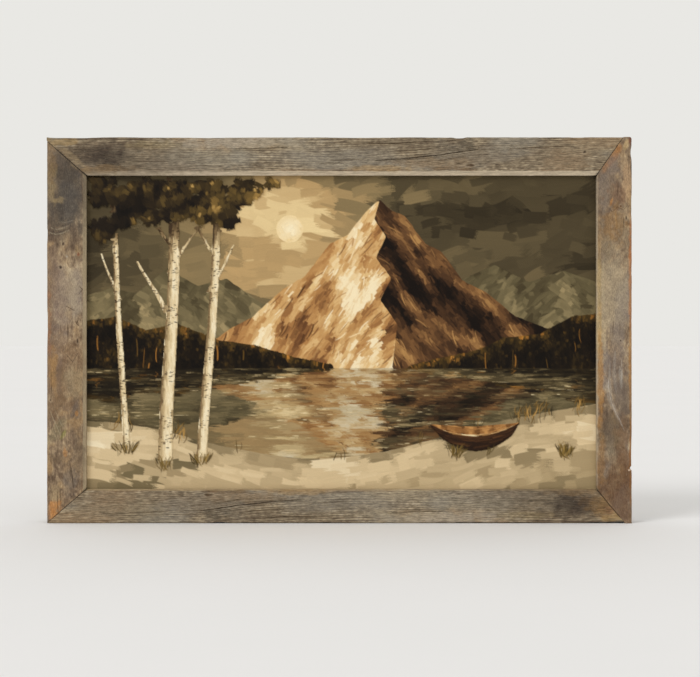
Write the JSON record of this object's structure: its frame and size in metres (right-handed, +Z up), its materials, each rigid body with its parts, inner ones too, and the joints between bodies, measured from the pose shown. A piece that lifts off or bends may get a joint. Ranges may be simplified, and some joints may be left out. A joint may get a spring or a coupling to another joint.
{
  "type": "framed picture",
  "caption": "Landscape painting on a stretched canvas in a flat mitred frame of weathered barn boards, with clips, tightening keys and a toothed hanger behind.",
  "frame": {"origin": "middle of the frame's bottom edge, halfway through the whole depth, on the surface it stands on", "axes": "+Z up, +X to the right along the bottom edge for someone who looks at the picture, +Y back towards the wall, so the picture faces -Y"},
  "size_m": [0.609, 0.0356, 0.402],
  "materials": {
    "barn_wood": "weathered grey brown barn board, dry and unvarnished, with checks, knots and rust stains",
    "stretcher_wood": "planed pine, bare",
    "key_wood": "bare beech",
    "canvas_cloth": "plain woven cotton, bare behind",
    "paint_pale": "satin oil paint in pale sand and cream, laid with a flat brush",
    "paint_middle": "satin oil paint in olive and grey brown",
    "paint_warm": "satin oil paint in tan, ochre and orange",
    "paint_dark": "satin oil paint in dark browns",
    "steel": "zinc plated steel",
    "brassed_steel": "thin brass plating on steel, dull",
    "bumper_rubber": "soft matt rubber"
  },
  "bodies": {
    "root": {"board_top": "barn_wood", "board_right": "barn_wood", "board_bottom": "barn_wood", "board_left": "barn_wood", "v_nail_topLeft": "steel", "v_nail_topRight": "steel", "v_nail_bottomRight": "steel", "v_nail_bottomLeft": "steel", "key_top_left_1": "key_wood", "key_top_left_2": "key_wood", "key_top_right_1": "key_wood", "key_top_right_2": "key_wood", "key_bottom_right_1": "key_wood", "key_bottom_right_2": "key_wood", "key_bottom_left_1": "key_wood", "key_bottom_left_2": "key_wood", "bar_top": "stretcher_wood", "bar_right": "stretcher_wood", "bar_bottom": "stretcher_wood", "bar_left": "stretcher_wood", "canvas": "canvas_cloth", "clip_1": "steel", "screw_1": "steel", "clip_2": "steel", "screw_2": "steel", "clip_3": "steel", "screw_3": "steel", "clip_4": "steel", "screw_4": "steel", "clip_5": "steel", "screw_5": "steel", "clip_6": "steel", "screw_6": "steel", "hanger": "brassed_steel", "hanger_nail_1": "brassed_steel", "hanger_nail_2": "brassed_steel", "bumper_left": "bumper_rubber", "bumper_right": "bumper_rubber", "paint_bank": "paint_pale", "paint_lake": "paint_middle", "paint_woods_left": "paint_dark", "paint_woods_right": "paint_dark", "paint_peak_lit": "paint_warm", "paint_peak_shade": "paint_dark", "paint_range_left": "paint_middle", "paint_range_right": "paint_middle", "paint_sun": "paint_pale", "paint_sky": "paint_pale", "paint_birch_near": "paint_pale", "paint_birch_leaning": "paint_pale", "paint_birch_slim": "paint_pale", "paint_leaves": "paint_warm", "paint_boat_hull": "paint_dark", "paint_boat_inside": "paint_warm"}
  },
  "joints": []
}
